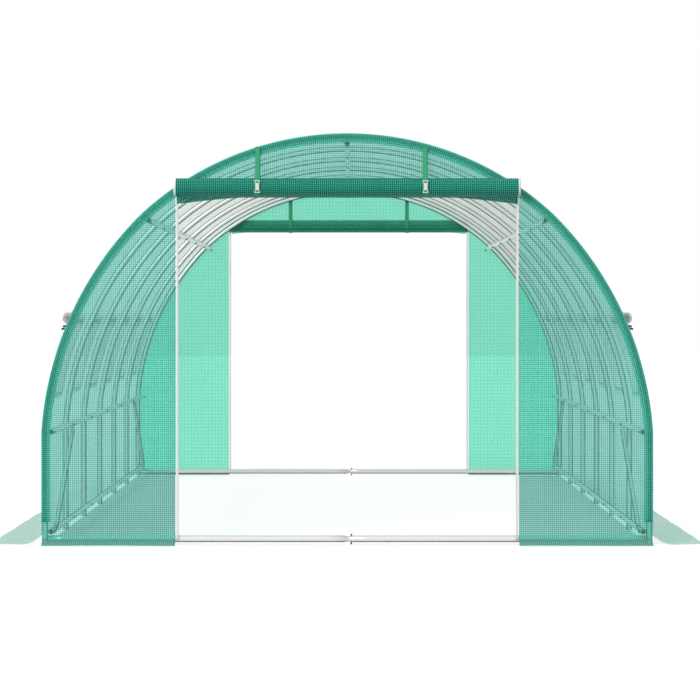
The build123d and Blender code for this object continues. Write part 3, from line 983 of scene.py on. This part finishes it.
# A stack of six-sided rings along an axis: each is centre + axis * height + radius * (cos * side + sin * up).
def turnedGrid(centre, axis, heights, radii):
    side = np.cross(axis, (0.0, 1.0, 0.0))
    side /= np.linalg.norm(side)
    up = np.cross(axis, side)
    turn = fullTurn(6)
    ring = np.cos(turn)[None, :, None] * side + np.sin(turn)[None, :, None] * up
    return (centre + heights[:, None, None] * axis + np.array(radii)[:, None, None] * ring)[:, ::-1]


def makeBolts():
    head, shank, height, closed = bolt["head"], bolt["shank"], bolt["headHeight"], 1e-5
    heights = bolt["sunk"] - np.array([0.0, 0.0, height, height, height + bolt["end"], height + bolt["end"]])
    nuts = []
    for node in purlinNodes:
        x, _, z = purlinCentre(node)
        across, up = bolt["outward"][node.split("_")[0]]
        outward = np.array([np.sign(x) * across, 0.0, up])
        outward /= np.linalg.norm(outward)
        nuts += [turnedGrid(np.array([x, y, z]) - outward * hoop["tubeRadius"], outward, heights,
                            (closed, head, head, shank, shank, closed)) for y in hoopPlaces]
    head, shank, bolts = neckBolt["head"], neckBolt["shank"], []
    inner = baseTube["radius"] + neckBolt["stand"]
    outer = inner + neckBolt["headHeight"]
    tip = outer + neckBolt["end"]
    heights = np.array([outer, outer, inner, inner, -inner, -inner, -outer, -outer, -tip, -tip])
    for end, _ in bothEnds:
        low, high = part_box(end + "_base_tube")
        centre = np.array([neckBolt["x"], (low.y + high.y) / 2, (low.z + high.z) / 2])
        bolts.append(turnedGrid(centre, np.array([0.0, 0.0, 1.0]), heights, (
            closed, head, head, shank, shank, head, head, shank, shank, closed)))
    tubePiece("joinBolts", nuts, boltSteel, smooth=False)
    tubePiece("neckBolts", bolts, boltSteel, smooth=False)


makeBolts()

for end, _ in bothEnds:
    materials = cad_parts[end + "_buckles"].data.materials
    materials.clear()
    materials.append(bucklePlastic)
print("flaps and bolts made")


# Floor, light and camera

view = dict(x=0.0255, height=1.129, distance=13.87, pitch=0.7177, yaw=0.0485, focalPixels=2834.0,
            imagePixels=700, sensor=36.0, farthest=300.0)
light = dict(world=0.74, key=1.5, keySize=0.30, keyFrom=(-0.50, -0.72, 0.48))
ground = dict(half=60.0, drop=0.0005, seen=(0.62, 0.62, 0.62), bounce=(0.45, 0.45, 0.45), glow=0.50,
              veil=0.75, roughness=0.9)


# 1 for rays from the camera and for those that a glossy or clear surface sends on.
def seenRays(tree):
    rays = addNode(tree, "LightPath").outputs
    onward = maths(tree, "MAXIMUM", rays["Is Glossy Ray"], rays["Is Transmission Ray"])
    return rays, maths(tree, "MAXIMUM", rays["Is Camera Ray"], onward)


def makeWorld():
    world = bpy.data.worlds.new("studioWorld")
    scene.world = world
    world.use_nodes = True
    tree = world.node_tree
    strength = scaleAdd(tree, seenRays(tree)[1], 1.0 - light["world"], light["world"])
    feed(tree, tree.nodes["Background"], {"Color": (1, 1, 1), "Strength": strength})
    sun = bpy.data.lights.new("softKey", "SUN")
    sun.energy = light["key"]
    sun.angle = light["keySize"]
    turn = Vector(light["keyFrom"]).to_track_quat("Z", "Y").to_euler()
    addObject("softKey", sun).rotation_euler = turn


# Where it is seen through film, the floor inside the tunnel is darkened as dark as the walls: painted shade.
def makeFloor():
    corners = np.array([(-1, -1, 0), (1, -1, 0), (1, 1, 0), (-1, 1, 0)]) * ground["half"]
    floor = meshPiece("studioFloor", corners - [0, 0, ground["drop"]], [(0, 1, 2, 3)])
    material, tree, shader = newMaterial("studioFloorPaint")
    rays, seen = seenRays(tree)
    place = addNode(tree, "SeparateXYZ", {0: objectPlace(tree)}).outputs
    inside = [maths(tree, "LESS_THAN", maths(tree, "ABSOLUTE", place[axis]), limit)
              for axis, limit in (("X", hoop["halfSpan"]), ("Y", float(hoopPlaces[-1])))]
    # Painted shade on the floor inside the tunnel where it is seen through film.
    behind = maths(tree, "GREATER_THAN", rays["Transparent Depth"], 0.5)
    behind = maths(tree, "MULTIPLY", maths(tree, "MULTIPLY", *inside), behind)
    seen = maths(tree, "MULTIPLY", seen, scaleAdd(tree, behind, -ground["veil"], 1.0))
    feed(tree, shader, {"Base Color": mixColours(tree, seen, ground["bounce"], ground["seen"]),
                        "Emission Color": (1, 1, 1), "Roughness": ground["roughness"],
                        "Emission Strength": maths(tree, "MULTIPLY", seen, ground["glow"])})
    floor.data.materials.append(material)


def makeCamera():
    lens = bpy.data.cameras.new("photoCamera")
    lens.sensor_width = view["sensor"]
    lens.lens = view["sensor"] * view["focalPixels"] / view["imagePixels"]
    lens.clip_end = view["farthest"]
    camera = addObject("photoCamera", lens)
    camera.location = (view["x"], -cover["gableDepth"] - view["distance"], view["height"])
    camera.rotation_euler = (math.radians(90 - view["pitch"]), 0, math.radians(view["yaw"]))
    scene.camera = camera


makeWorld()
makeFloor()
makeCamera()
print("stage and camera made")
